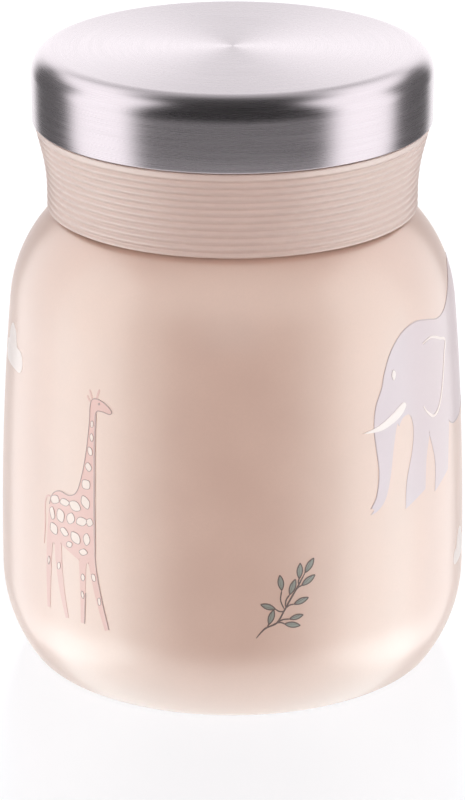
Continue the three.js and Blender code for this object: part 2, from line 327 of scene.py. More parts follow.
def brushed_metal(name, colour, rough, anisotropic, streak=0.5, fineness=9000.0):
    """Steel turned under an abrasive belt: streaks run round the axis on every face."""
    n = Nodes(name)
    place = n.place()
    x, y, z = n.split(place)
    radius = n.length(n.joined(x, y))
    along = n.maths("SUBTRACT", radius, z)
    safe = n.maths("MAXIMUM", radius, 0.0005)
    cosine = n.maths("DIVIDE", x, safe)
    sine = n.maths("DIVIDE", y, safe)

    def streaks(scale, turn_scale, detail):
        across = n.maths("MULTIPLY", along, scale)
        round_x = n.maths("MULTIPLY", cosine, turn_scale)
        round_y = n.maths("MULTIPLY", sine, turn_scale)
        return n.noise(n.joined(across, round_x, round_y), 1.0, detail, 0.6)

    fine = streaks(fineness, 2.2, 3)
    coarse = streaks(fineness / 7, 1.3, 4)
    drift = n.noise(place, 45, 3)
    mixed = n.maths("ADD", n.maths("MULTIPLY", fine, 0.6), n.maths("MULTIPLY", coarse, 0.4))
    dark = tone(colour, 1 - 0.16 * streak)
    light = tone(colour, 1 + 0.12 * streak)
    base = n.mix(n.between(mixed, 0, 1, 0.35, 0.65), dark, light)
    base = n.mix(n.between(drift, 0, 0.2), base, tone(colour, 0.92))
    roughness = n.between(mixed, rough - 0.06 * streak, rough + 0.08 * streak, 0.35, 0.65)
    normal = n.bump(mixed, 0.25 * streak, 0.00003)
    tangent = n.add("ShaderNodeTangent", direction_type="RADIAL", axis="Z").outputs[0]
    n.set(n.shader.inputs["Anisotropic"], anisotropic)
    n.set(n.shader.inputs["Anisotropic Rotation"], 0.25)
    n.set(n.shader.inputs["Tangent"], tangent)
    return n.finish(base=base, rough=roughness, metal=1.0, normal=normal)


paint = smooth_coating("satin_pink_paint", (0.71, 0.455, 0.365), 0.42, coat=0.25)
pink_plastic = smooth_coating("moulded_pink_plastic", (0.62, 0.42, 0.36), 0.46, grain=0.12)
white_plastic = smooth_coating("moulded_white_plastic", (0.80, 0.78, 0.75), 0.42, grain=0.12)
silicone = smooth_coating("silicone", (0.74, 0.71, 0.68), 0.6, grain=0.2)
foam = smooth_coating("foam", (0.86, 0.83, 0.76), 0.95, grain=1.0, spread=0.08)
adhesive = smooth_coating("adhesive_tape", (0.64, 0.62, 0.56), 0.8, grain=0.5)
getter = smooth_coating("sintered_getter", (0.12, 0.115, 0.11), 0.9, grain=0.8, spread=0.2)
solder_glass = smooth_coating("solder_glass", (0.22, 0.32, 0.28), 0.12, grain=0.02)
cap_steel = brushed_metal("brushed_cap_steel", (0.715, 0.66, 0.695), 0.27, 0.75)
cover_steel = brushed_metal("brushed_cover_steel", (0.60, 0.57, 0.57), 0.32, 0.7)
vessel_steel = brushed_metal("spun_vessel_steel", (0.60, 0.575, 0.56), 0.24, 0.5, 0.35, 4000.0)
copper = brushed_metal("copper_foil_sheet", (0.72, 0.36, 0.2), 0.35, 0.3)

print_pink = smooth_coating("print_pink", (0.66, 0.345, 0.29), 0.44, coat=0.2)
print_spot = smooth_coating("print_pale_spot", (0.78, 0.575, 0.495), 0.42, coat=0.25)
print_line = smooth_coating("print_rose_line", (0.36, 0.20, 0.175), 0.45, coat=0.2)
print_lilac = smooth_coating("print_lilac", (0.60, 0.44, 0.465), 0.44, coat=0.2)
print_grey_line = smooth_coating("print_grey_line", (0.46, 0.31, 0.31), 0.45, coat=0.2)
print_white = smooth_coating("print_white", (0.90, 0.74, 0.69), 0.44, coat=0.2)
print_green = smooth_coating("print_leaf_green", (0.27, 0.26, 0.22), 0.45, coat=0.2)
print_brown = smooth_coating("print_leaf_brown", (0.10, 0.05, 0.04), 0.45, coat=0.2)


# ---- Jar --------------------------------------------------------------------------------------

satin_pieces = []  # the painted and pink plastic pieces, which have softboxes of their own


def on(piece, body, slot, *nodes):
    """Rides a body and stands for CAD nodes, which it hides. The slot is not used."""
    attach(piece, body)
    if nodes:
        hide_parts(*nodes)


def painted_body():
    """Wall and base cup painted as one, with the standing ring and the recess under the base."""
    inside = arc_run(base_outside[-1], 90, WALL_ARCS, SHEET)[::-1]
    inside += arc_run((RING_OUTER, 0), 0, BASE_ARCS, SHEET)[::-1][1:]
    outline = body_outside + inside + [
        (RING_INNER + SHEET, SHEET),
        (RECESS_RADIUS + SHEET, RECESS_FLOOR + SHEET),
        (0, RECESS_FLOOR + SHEET),
        (0, RECESS_FLOOR),
        (RECESS_RADIUS - 0.4, RECESS_FLOOR),
        (RECESS_RADIUS - 0.05, RECESS_FLOOR - 0.3),
        (RING_INNER - 0.1, 0.5),
        (RING_INNER + 0.05, 0.15),
        (RING_INNER + 0.4, 0),
    ]
    piece = turned("painted_body", outline, paint, segments=256)
    satin_pieces.append(piece)
    on(piece, "jar", "paint", "outer_shell", "base_cup")


def thread_rise(angle, height, start_height, sweep):
    """0 to 1: how far a thread ridge stands out of the wall at a place on it."""
    best = 0.0
    for i in range(THREAD_STARTS):
        travelled = (angle - TAU * i / THREAD_STARTS) % TAU
        share = math.degrees(travelled) / sweep
        if share > 1:
            continue
        centre = start_height + THREAD_LEAD * travelled / TAU
        across = abs(height - centre) / THREAD_HALF_WIDTH
        if across >= 1:
            continue
        fade = min(1.0, min(share, 1 - share) / RUN_OUT)
        fade = fade * fade * (3 - 2 * fade)
        flat = min(1.0, 1.5 * (1 - across))
        best = max(best, fade * flat * flat * (3 - 2 * flat))
    return best


def neck():
    """Bare steel neck with the rolled thread, from under the lid's skirt to the rim weld."""
    foot_r, foot_z = body_outside[-1]
    bend = sum(turn for _, turn in WALL_ARCS)
    fillet = (foot_r - NECK_RADIUS) / (1 - math.cos(math.radians(bend)))
    root = arc_run((foot_r, foot_z), 90 + bend, [(fillet, -bend)], step=6)
    rows = 44
    first = root[-1][1]
    wall = [(NECK_RADIUS, first + (NECK_TOP - first) * k / rows) for k in range(1, rows + 1)]
    outside = root + wall
    inside = [(r - SHEET, z) for r, z in reversed(outside)]

    def thread(angle, radius, height):
        if abs(radius - NECK_RADIUS) > 0.01:
            return radius
        rise = thread_rise(angle, height, THREAD_HEIGHT, NECK_SWEEP)
        return radius + (THREAD_CREST - NECK_RADIUS) * rise

    piece = turned("threaded_neck", outside + inside, vessel_steel, segments=300, shape=thread)
    on(piece, "jar", "polished_steel", "outer_shell")


def liner():
    """Inner vessel: rounded bottom, straight wall, drawn shoulder and the turned-out rim."""
    corner_radius = 8
    floor_arcs = [(corner_radius, 90)]
    shoulder_arcs = [(12, 60), (5.8, -60)]
    corner = (LINER_RADIUS - corner_radius, LINER_FLOOR)
    shoulder = (LINER_RADIUS, 68)
    outside = arc_run(corner, 0, floor_arcs, step=6) + arc_run(shoulder, 90, shoulder_arcs, step=5)
    inside = arc_run(corner, 0, floor_arcs, SHEET, 6) + arc_run(shoulder, 90, shoulder_arcs, SHEET, 5)
    rim = [
        (LINER_NECK, RIM_TOP - 0.75),
        (NECK_RADIUS - 0.1, RIM_TOP - 0.75),
        (NECK_RADIUS, RIM_TOP - 0.6),
        (NECK_RADIUS, RIM_TOP - 0.3),
        (NECK_RADIUS - 0.1, RIM_TOP - 0.08),
        (NECK_RADIUS - 0.35, RIM_TOP),
        (LINER_NECK + 0.1, RIM_TOP),
        (LINER_NECK - 0.25, RIM_TOP - 0.1),
        (LINER_NECK - 0.43, RIM_TOP - 0.3),
        (LINER_NECK - 0.5, RIM_TOP - 0.7),
    ]
    top = LINER_FLOOR + SHEET
    step = 0.25
    bottom = [(12, top), (11.4, top + step), (4, top + step), (0, top), (0, LINER_FLOOR)]
    piece = turned("food_vessel", outside + rim + inside[::-1] + bottom, vessel_steel)
    on(piece, "jar", "polished_steel", "inner_liner")


def cover():
    """Disc under the base, with a low flange, a raised middle and a pressed ring."""
    sheet = 0.4
    dimple = 0.15
    groove = 0.2
    z = COVER_BOTTOM
    underside = [
        (0, z + dimple),
        (9, z + dimple),
        (9.6, z),
        (24, z),
        (24.6, z + groove),
        (27.4, z + groove),
        (28, z),
        (COVER_RADIUS - 1.1, z),
    ]
    corner = [
        (COVER_RADIUS - 0.6, z + 0.09),
        (COVER_RADIUS - 0.25, z + 0.3),
        (COVER_RADIUS, z + 0.8),
        (COVER_RADIUS, COVER_TOP),
    ]
    inside = [
        (COVER_RADIUS - sheet, COVER_TOP),
        (COVER_RADIUS - sheet, z + 1.1),
        (COVER_RADIUS - 1.1, z + sheet + dimple),
        (28, z + sheet + dimple),
        (0, z + sheet + dimple),
    ]
    piece = turned("base_disc", underside + corner + inside, cover_steel)
    on(piece, "jar", "brushed_steel", "base_cover")


# ---- Lid --------------------------------------------------------------------------------------

def cap():
    """Deep-drawn steel cap with a rounded top edge and an eased lower one."""
    edge = (CAP_RADIUS, CAP_TOP - CAP_FILLET)
    inside = arc_run(edge, 90, [(CAP_FILLET, 90)], SHEET, 9)[::-1]
    outside = arc_run(edge, 90, [(CAP_FILLET, 90)], 0, 4.5)
    foot = rounded(
        [
            (CAP_RADIUS - SHEET, CAP_BOTTOM + 3, 0),
            (CAP_RADIUS - SHEET, CAP_BOTTOM, 0.18),
            (CAP_RADIUS, CAP_BOTTOM, 0.22),
            (CAP_RADIUS, CAP_BOTTOM + 3, 0),
        ]
    )
    outline = [(0, CAP_TOP - SHEET)] + inside + foot + outside + [(0, CAP_TOP)]
    piece = turned("steel_cap", outline, cap_steel, segments=256)
    on(piece, "lid", "brushed_steel", "lid_cap")


def skirt_radius(height):
    """A cylinder, a concave flare, then a cone up to the cap's edge."""
    straight = 35.84
    start = 94.1  # heights between which it flares
    end = 103.0
    bend = 36.0  # radius of the flare
    climb = max(0.0, min(height, end) - start)
    flare = bend - math.sqrt(bend * bend - climb * climb)
    return straight + flare + max(0.0, height - end) * (end - start) / bend


def rib_radius(height):
    """The skirt's radius with its rounded grooves."""
    place = (height - FIRST_GROOVE) / RIB_PITCH
    if not -0.5 <= place <= RIBS - 0.5:
        return skirt_radius(height)
    groove = 0.5 + 0.5 * math.cos(TAU * place)
    return skirt_radius(height) - RIB_DEPTH * groove ** 1.5


def shell():
    """Pink shell: the grooved skirt, and the core that stands inside the cap."""
    ledge = CAP_BOTTOM - 0.3
    bore = 34.7
    core_radius = 35.6
    steps = RIBS * 10
    top = FIRST_GROOVE + (RIBS - 0.5) * RIB_PITCH
    bottom = FIRST_GROOVE - 0.5 * RIB_PITCH
    ribs = []
    for k in range(steps + 1):
        z = bottom + (top - bottom) * k / steps
        ribs.append((rib_radius(z), z))
    foot = rounded(
        [
            (bore, SKIRT_BOTTOM + 2, 0),
            (bore, SKIRT_BOTTOM, 0.3),
            (skirt_radius(SKIRT_BOTTOM), SKIRT_BOTTOM, 0.22),
            (skirt_radius(SKIRT_BOTTOM), SKIRT_BOTTOM + 0.17, 0),
        ]
    )
    brim = rounded(
        [
            (skirt_radius(top + 0.3), top + 0.3, 0),
            (skirt_radius(ledge), ledge, 0.3),
            (core_radius, ledge, 0),
        ]
    )
    deck = high("lid_shell")[2]
    core = [
        (core_radius, deck - 2.5),
        (34.9, deck - 0.7),
        (33.1, deck),
        (0, deck),
        (0, deck - PLASTIC),
        (33.6, deck - PLASTIC),
        (33.6, 109.5),
        (bore, 109.2),
    ]
    piece = turned("ribbed_skirt", foot + ribs + brim + core, pink_plastic, segments=256, sharp=50)
    satin_pieces.append(piece)
    on(piece, "lid", "pink_plastic", "lid_shell")


def plug():
    """Threaded wall and hollow plug, moulded in one, with a shallow dish under the plug."""
    thread_top = 104.5
    rows = 44
    bore = 33.3
    wall = []
    for k in range(rows + 1):
        wall.append((bore, thread_top - (thread_top - INNER_BOTTOM - 0.3) * k / rows))
    dish = [
        (0, PLUG_BOTTOM + 0.35),
        (10, PLUG_BOTTOM + 0.33),
        (20, PLUG_BOTTOM + 0.2),
        (23.5, PLUG_BOTTOM + 0.05),
        (24.5, PLUG_BOTTOM),
        (26.8, PLUG_BOTTOM),
        (27.6, PLUG_BOTTOM + 0.12),
        (28.15, PLUG_BOTTOM + 0.45),
        (PLUG_RADIUS, PLUG_BOTTOM + 1.2),
    ]
    ease = 0.4
    roof = [
        (PLUG_RADIUS, CEILING - ease),
        (PLUG_RADIUS + ease, CEILING),
        (bore - ease, CEILING),
        (bore, CEILING - ease),
    ]
    foot = [
        (bore + 0.3, INNER_BOTTOM),
        (INNER_RADIUS - 0.2, INNER_BOTTOM),
        (INNER_RADIUS, INNER_BOTTOM + 0.2),
    ]
    top = CEILING + PLASTIC
    inside = [
        (INNER_RADIUS, top),
        (PLUG_RADIUS - PLASTIC, top),
        (PLUG_RADIUS - PLASTIC, PLUG_BOTTOM + PLASTIC),
        (0, PLUG_BOTTOM + PLASTIC),
    ]

    def thread(angle, radius, height):
        if abs(radius - bore) > 0.01 or height > thread_top:
            return radius
        rise = thread_rise(angle, height, THREAD_HEIGHT - LID_THREAD_DROP, LID_SWEEP)
        return radius - (bore - LID_CREST) * rise

    outline = dish + roof + wall + foot + inside
    piece = turned("threaded_plug", outline, white_plastic, segments=300, shape=thread)
    on(piece, "lid", "white_plastic", "lid_inner")


def seal():
    """Silicone ring with a rounded sealing lip."""
    inner = PLUG_RADIUS + 0.3
    outline = rounded(
        [
            (inner, SEAL_BOTTOM + 0.6, 0.2),
            (inner + 0.9, SEAL_BOTTOM, 0.35),
            (SEAL_RADIUS - 0.3, SEAL_BOTTOM, 0.3),
            (SEAL_RADIUS, SEAL_BOTTOM + 0.5, 0.2),
            (SEAL_RADIUS, SEAL_TOP, 0.25),
            (inner, SEAL_TOP, 0.25),
        ]
    )
    on(turned("silicone_seal", outline, silicone), "seal", "silicone", "seal_ring")


# ---- Printed decoration -----------------------------------------------------------------------

GIRTH = 45.4  # radius at which a print's widths are measured
FILL_RISE = 0.05  # how far each layer stands out of the paint
DETAIL_RISE = 0.08
LINE_RISE = 0.11
SUNK = -0.12  # the back of every layer, inside the paint
GRID = 2.0  # spacing of the points that bend a wide print round the wall
NEAREST = 0.01  # points closer than this are one point


def curve(points, closed=True, per=7):
    """A Catmull-Rom curve through the points."""
    count = len(points)
    spans = count if closed else count - 1
    made = []
    for i in range(spans):
        if closed:
            a, b, c, d = (points[(i + k - 1) % count] for k in range(4))
        else:
            a, b, c, d = (points[min(max(i + k - 1, 0), count - 1)] for k in range(4))
        for j in range(per):
            t = j / per
            made.append(tuple(
                0.5 * (2 * q + (r - p) * t + (2 * p - 5 * q + 4 * r - s) * t * t
                       + (3 * q - p - 3 * r + s) * t ** 3)
                for p, q, r, s in zip(a, b, c, d)
            ))
    if not closed:
        made.append(points[-1])
    return made


def stroke(points, width, taper=True):
    """The outline of a drawn line."""
    left = []
    right = []
    last = len(points) - 1
    for i, (x, y) in enumerate(points):
        x0, y0 = points[max(i - 1, 0)]
        x1, y1 = points[min(i + 1, last)]
        length = math.hypot(x1 - x0, y1 - y0) or 1.0
        share = min(i, last - i) / max(1, last)
        half = width / 2 * (min(1.0, 0.35 + 4 * share) if taper else 1.0)
        aside_x = -(y1 - y0) / length * half
        aside_y = (x1 - x0) / length * half
        left.append((x + aside_x, y + aside_y))
        right.append((x - aside_x, y - aside_y))
    return right + left[::-1]


def distinct(outline):
    """The outline without repeated points."""
    return [p for p, q in zip(outline, outline[-1:] + outline[:-1]) if math.dist(p, q) > NEAREST]


def edged(outline, width):
    """Two lines that together run all round an outline."""
    kept = distinct(outline)
    half = len(kept) // 2
    loop = kept + kept[:1]
    return [stroke(loop[: half + 1], width, False), stroke(loop[half:], width, False)]


def cornered(points):
    """Doubles the points marked as corners, so that a curve turns sharply there."""
    made = []
    for x, y, *corner in points:
        made += [(x, y)] * (2 if corner else 1)
    return made


def wound(shape):
    """The outline without repeated points, turned anticlockwise."""
    kept = distinct(shape)
    area = sum(p[0] * q[1] - q[0] * p[1] for p, q in zip(kept, kept[1:] + kept[:1]))
    return kept if area > 0 else kept[::-1]


def flat_triangles(shapes):
    """The shapes filled with triangles that are small enough to bend round the wall."""
    points = []
    outlines = []
    for shape in shapes:
        start = len(points)
        points += [Vector(p) for p in wound(shape)]
        outlines.append(list(range(start, len(points))))
    low_x = min(p.x for p in points)
    high_x = max(p.x for p in points)
    low_y = min(p.y for p in points)
    high_y = max(p.y for p in points)
    for i in range(1, int((high_x - low_x) / GRID) + 1):
        for k in range(1, int((high_y - low_y) / GRID) + 1):
            points.append(Vector((low_x + i * GRID, low_y + k * GRID)))
    flat, _, found, _, _, sources = delaunay_2d_cdt(points, [], outlines, 1, 1e-5)
    triangles = []
    for (a, b, c), source in zip(found, sources):
        area = (flat[b] - flat[a]).cross(flat[c] - flat[a])
        if source and abs(area) > 1e-9:
            triangles.append((a, b, c) if area > 0 else (a, c, b))
    return flat, triangles


def decal(name, shapes, rise, material):
    """A closed thin layer on the painted wall. Shapes are in millimetres: along, then height."""
    flat, triangles = flat_triangles(shapes)
    used = sorted({i for triangle in triangles for i in triangle})
    number = {old: new for new, old in enumerate(used)}
    front = [tuple(number[i] for i in triangle) for triangle in triangles]
    vertices = []
    for lift in (rise, SUNK):
        for i in used:
            angle = flat[i].x / GIRTH
            radius = wall_radius(flat[i].y) + lift
            vertices.append((radius * math.sin(angle), -radius * math.cos(angle), flat[i].y))
    count = len(used)
    edges = {}
    for a, b, c in front:
        for edge in ((a, b), (b, c), (c, a)):
            edges[edge] = True
    sides = [(b, a, a + count, b + count) for a, b in edges if (b, a) not in edges]
    back = [(c + count, b + count, a + count) for a, b, c in front]
    piece = mesh_object(name, vertices, front + back + sides, material, sharp=40)
    satin_pieces.append(piece)
    on(piece, "jar", "paint")


def moved(shapes, along, up, scale=1.0, flip=False):
    """Shapes set down on the wall, scaled or mirrored about their own origin."""
    side = -scale if flip else scale
    return [[(along + side * x, up + scale * y) for x, y in shape] for shape in shapes]


def giraffe(name, along, up):
    """A long-necked giraffe, seen from its side and facing right. Corners are marked 1."""
    body = curve(cornered([
        (3.0, 22.0), (4.0, 24.4), (6.0, 25.5), (8.6, 25.3), (10.6, 26.6), (11.9, 30.5), (12.8, 35.5),
        (13.3, 40.5), (13.4, 44.2), (13.9, 45.6), (15.2, 45.9), (17.0, 45.3), (18.4, 44.2),
        (18.1, 43.5), (16.2, 43.7), (14.9, 43.3), (14.7, 40.5), (14.8, 34.0), (14.9, 26.0),
        (15.2, 18.0), (15.3, 13.6), (16.3, 8.0), (18.3, 0.2, 1), (17.4, -0.2, 1), (15.2, 6.5),
        (13.7, 12.6, 1), (13.1, 12.2), (12.9, 6.5), (12.6, 0.1, 1), (11.7, 0.1, 1), (11.6, 6.5),
        (11.3, 12.8, 1), (9.5, 13.6), (6.6, 14.8, 1), (6.8, 10.5), (7.5, 5.0), (8.5, 0.1, 1),
        (7.7, -0.1, 1), (6.1, 5.0), (5.0, 10.5), (4.6, 14.2, 1), (4.0, 14.0), (3.5, 7.5),
        (3.1, 0.6, 1), (2.3, 0.6, 1), (2.1, 7.5), (2.2, 13.5), (2.5, 18.0),
    ]), per=5)
    near_horn = curve([(13.9, 45.4), (13.5, 46.4), (13.1, 47.4)], False)
    far_horn = curve([(14.8, 45.6), (15.1, 46.7), (15.5, 47.9)], False)
    ear = curve([(13.6, 45.0), (12.9, 45.6), (12.6, 46.2)], False)
    tail = curve([(3.4, 23.6), (2.2, 23.4), (1.5, 21.5), (1.6, 18.0), (1.3, 13.4)], False)
    thin = [stroke(tail, 0.35), stroke(ear, 0.4), stroke(near_horn, 0.45), stroke(far_horn, 0.45)]
    patches = [  # centre, half width, half height
        (4.6, 23.4, 1.1, 0.8), (7.4, 23.6, 1.0, 0.7), (10.2, 23.6, 1.1, 1.0), (12.8, 25.0, 0.9, 1.1),
        (3.9, 20.4, 0.7, 1.0), (6.3, 20.6, 1.1, 1.0), (9.1, 20.8, 1.0, 0.9), (11.9, 20.9, 1.1, 0.8),
        (13.9, 21.2, 0.6, 0.8), (4.4, 17.4, 0.9, 1.1), (7.4, 17.6, 0.9, 0.7), (10.4, 17.2, 1.2, 0.9),
        (13.2, 17.6, 0.8, 0.9), (8.8, 15.4, 0.7, 0.5), (12.4, 14.8, 0.8, 0.6), (12.9, 28.6, 0.8, 1.0),
        (13.4, 32.2, 0.6, 0.8), (13.7, 35.4, 0.5, 0.7), (14.0, 38.2, 0.4, 0.6), (14.0, 40.8, 0.35, 0.5),
        (2.9, 10.4, 0.3, 0.7), (5.9, 10.2, 0.35, 0.7), (12.3, 9.6, 0.35, 0.7), (14.9, 10.2, 0.4, 0.7),
        (12.2, 6.0, 0.3, 0.6), (16.2, 5.6, 0.35, 0.6),
    ]
    spots = []
    for i, (x, y, wide, tall) in enumerate(patches):
        corners = []
        for k in range(6):
            angle = TAU * (k + 0.37 * i) / 6
            reach = 1 + 0.2 * math.sin(2.1 * k + 1.7 * i)
            across = 1.15 * wide * reach
            upward = 1.15 * tall * reach
            corners.append((x + across * math.cos(angle), y + upward * math.sin(angle)))
        spots.append(curve(corners, per=3))
    chest = curve([(14.9, 43.0), (14.75, 38.0), (14.9, 30.0), (15.05, 22.0), (15.3, 14.0)], False)
    eye = curve([(15.3, 45.1), (15.6, 45.3), (15.8, 45.0), (15.5, 44.8)])
    lines = edged(body, 0.17) + [stroke(chest, 0.34), eye]
    for spot in spots:
        lines += edged(spot, 0.12)
    decal(name + "_fill", moved([body] + thin, along, up), FILL_RISE, print_pink)
    decal(name + "_spots", moved(spots, along, up), DETAIL_RISE, print_spot)
    decal(name + "_lines", moved(lines, along, up), LINE_RISE, print_line)


def elephant(name, along, up):
    """A standing elephant, seen from its side and facing left. Corners are marked 1."""
    body = curve(cornered([
        (0.5, 2.9, 1), (1.8, 5.0), (2.5, 9.5), (1.9, 14.5), (1.5, 18.5), (2.1, 22.5), (3.8, 26.0),
        (4.6, 28.6), (6.6, 32.4), (10.0, 35.2), (14.5, 36.2), (19.0, 35.5), (23.5, 34.5), (27.5, 35.0),
        (32.0, 37.4), (38.0, 40.2), (45.0, 40.9), (52.0, 38.8), (57.0, 34.0), (59.0, 26.5),
        (59.2, 18.0), (58.8, 9.0), (59.1, 1.8, 1), (53.2, 0.4, 1), (53.0, 8.0), (51.6, 13.4, 1),
        (50.4, 8.0), (50.2, 1.6, 1), (44.2, 0.4, 1), (44.0, 8.0), (42.0, 12.6), (36.0, 11.4),
        (30.0, 11.4), (26.8, 12.8, 1), (26.0, 8.0), (25.4, 3.4, 1), (19.2, 0.9, 1), (19.5, 7.0),
        (17.6, 13.0, 1), (16.2, 8.5), (15.6, 2.6, 1), (9.3, 0.4, 1), (9.8, 6.0), (11.6, 11.5),
        (12.2, 16.0), (11.2, 18.8), (9.2, 18.8), (8.0, 17.4, 1), (7.4, 17.8), (6.3, 13.5), (5.3, 8.0),
        (4.0, 4.0), (2.2, 2.1), (0.3, 1.5, 1), (1.1, 2.3, 1),
    ]), per=5)
    tail = stroke(curve([(58.6, 27.0), (60.8, 24.0), (61.4, 19.0), (60.8, 14.0)], False), 0.9)
    ear = curve([(16.5, 31.4), (20.0, 31.8), (24.0, 30.4), (26.6, 29.2), (25.6, 26.0), (24.0, 21.0),
                 (22.0, 17.4), (19.6, 16.2), (17.2, 17.6), (15.8, 19.2)], False)
    tusk = curve(cornered([(-1.4, 18.0, 1), (2.6, 18.7), (6.2, 20.2), (9.2, 21.7), (10.1, 20.9),
                           (8.0, 19.1), (3.4, 17.7)]))
    eye = curve([(6.5, 27.8), (7.0, 28.7), (7.6, 27.8), (7.0, 26.7)])
    shade = [(x + 0.3, y - 0.2) for x, y in ear]
    lines = edged(body, 0.22) + edged(tail, 0.16) + edged(eye, 0.14) + [stroke(shade, 0.2)]
    pale = [stroke(ear, 0.5), tusk, eye]
    decal(name + "_fill", moved([body, tail], along, up), FILL_RISE, print_lilac)
    decal(name + "_pale", moved(pale, along, up), LINE_RISE, print_white)
    decal(name + "_lines", moved(lines, along, up), DETAIL_RISE, print_grey_line)


def leaf(base, heading, length):
    """A leaf pointed at both ends, and its midrib."""
    dx = math.cos(heading)
    dy = math.sin(heading)
    steps = 8
    sides = []
    for side in (1, -1):
        edge = []
        for k in range(steps + 1):
            t = k / steps
            half = side * 0.68 * length * t * (1 - t)
            x = base[0] + t * length * dx - half * dy
            y = base[1] + t * length * dy + half * dx
            edge.append((x, y))
        sides.append(edge)
    rib = stroke([sides[0][0], sides[0][-2]], 0.12)
    return sides[1] + sides[0][-2:0:-1], rib


def leaf_sprig(name, along, up, flip=False):
    """A branching sprig: a bowed stem, side stalks and ten pointed leaves."""
    bows = [(0, 0), (1.7, 1.9), (3.9, 2.9), (5.2, 5.1), (6.5, 7.5), (8.0, 10.1), (9.3, 12.5)]
    stem = curve(bows, False)
    twigs = [  # where it leaves the stem, which way it points, stalk, leaf length
        ((2.2, 2.2), 72, 0.5, 3.1), ((3.9, 2.9), -12, 1.5, 3.1), ((3.9, 2.9), 13, 2.5, 2.7),
        ((5.2, 5.1), 158, 1.7, 3.0), ((5.3, 5.6), 97, 3.9, 3.1), ((5.5, 6.1), 70, 2.5, 3.2),
        ((5.6, 5.8), 21, 1.7, 3.0), ((8.1, 10.3), 86, 1.2, 3.1), ((7.6, 9.3), 35, 1.3, 3.2),
        ((9.3, 12.5), 58, 0.1, 3.2),
    ]
    blades = []
    lines = [stroke(stem, 0.3)]
    for (x, y), degrees, stalk, length in twigs:
        heading = math.radians(degrees)
        dx = math.cos(heading)
        dy = math.sin(heading)
        base = (x + stalk * dx, y + stalk * dy)
        bend = (x + stalk * (0.5 * dx - 0.12 * dy), y + stalk * (0.5 * dy + 0.12 * dx))
        lines.append(stroke(curve([(x, y), bend, base], False), 0.24))
        blade, rib = leaf(base, heading, length)
        blades.append(blade)
        lines += edged(blade, 0.2) + [rib]
    decal(name + "_leaves", moved(blades, along, up, flip=flip), FILL_RISE, print_green)
    decal(name + "_lines", moved(lines, along, up, flip=flip), LINE_RISE, print_brown)


def cloud(name, along, up, scale=1.0):
    """A pale rounded cloud."""
    shape = curve([(0, 1.6), (1.4, 0.2), (4.6, 0), (9.0, 0.1), (12.2, 0.3), (13.6, 2.2), (12.2, 4.4),
                   (9.8, 4.8), (8.6, 7.4), (5.6, 8.4), (3.2, 6.4), (2.6, 4.4), (0.6, 3.6)])
    decal(name, moved([shape], along, up, scale), FILL_RISE, print_white)


def along_at(degrees):
    """Distance along the wall for an azimuth from the front, positive to the right."""
    return math.radians(degrees) * GIRTH


painted_body()
neck()
liner()
cover()
cap()
shell()
plug()
seal()
giraffe("giraffe", along_at(-54), 17.6)
elephant("elephant", along_at(34.8), 39.0)
leaf_sprig("sprig_front", along_at(5.6), 18.9)
leaf_sprig("sprig_back", along_at(150), 30, flip=True)
leaf_sprig("sprig_side", along_at(-106), 21)
cloud("cloud_left", along_at(-83), 61.5)
cloud("cloud_right", along_at(71), 20.5, 0.8)
cloud("cloud_back", along_at(-160), 58)

hidden_pieces = {
    "copper_foil": copper,
    "getter_clip": vessel_steel,
    "getter_pellet": getter,
    "glass_seal_bead": solder_glass,
    "lid_foam": foam,
    "cap_bond_pad": adhesive,
}
for node, material in hidden_pieces.items():
    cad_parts[node].data.materials.clear()
    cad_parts[node].data.materials.append(material)


# ---- Floor, lights and camera, in metres ------------------------------------------------------

FLOOR_HALF = 6
FLOOR_GLOW = 0.80
WORLD_GLOW = 0.31  # the world's strength for all rays but the camera's
COOL = (0.83, 1.0, 1.03)
NEUTRAL = (1.0, 1.0, 1.0)

# The dome's radiance, by where on it a reflection lands.
DOME_RADIUS = 4
FRONT_LOW = 0.24
FRONT_HIGH = 0.03
SIDES = 1.35
REAR_CORNERS = 0.12
BACK = 1.25
BACK_HIGH = 0.6
OVERHEAD = 0.05
TABLE = 1.1

# Softboxes that stand beside the jar: name, front edge and back edge along Y, radiance, colour.
BOX_DISTANCE = 0.5
BOX_HEIGHT = 1.1
BOX_MIDDLE = 0.05
BOXES = [
    ("front_box", -0.75, -0.38, 2.6, COOL),
    ("side_box", -0.38, 0.05, 6.0, COOL),
    ("rear_box", 0.05, 0.6, 3.8, NEUTRAL),
]


def softbox(name, centre, target, size, radiance, colour=NEUTRAL):
    """A rectangular light that faces its target, given by how bright its surface is."""
    light = bpy.data.lights.new(name, "AREA")
    light.shape = "RECTANGLE"
    light.size, light.size_y = size
    light.energy = radiance * math.pi * size[0] * size[1]
    light.color = colour
    lamp = bpy.data.objects.new(name, light)
    lamp.location = centre
    lamp.rotation_euler = (Vector(target) - Vector(centre)).to_track_quat("-Z", "Y").to_euler()
    lamp.visible_camera = False
    bpy.context.scene.collection.objects.link(lamp)
    return lamp


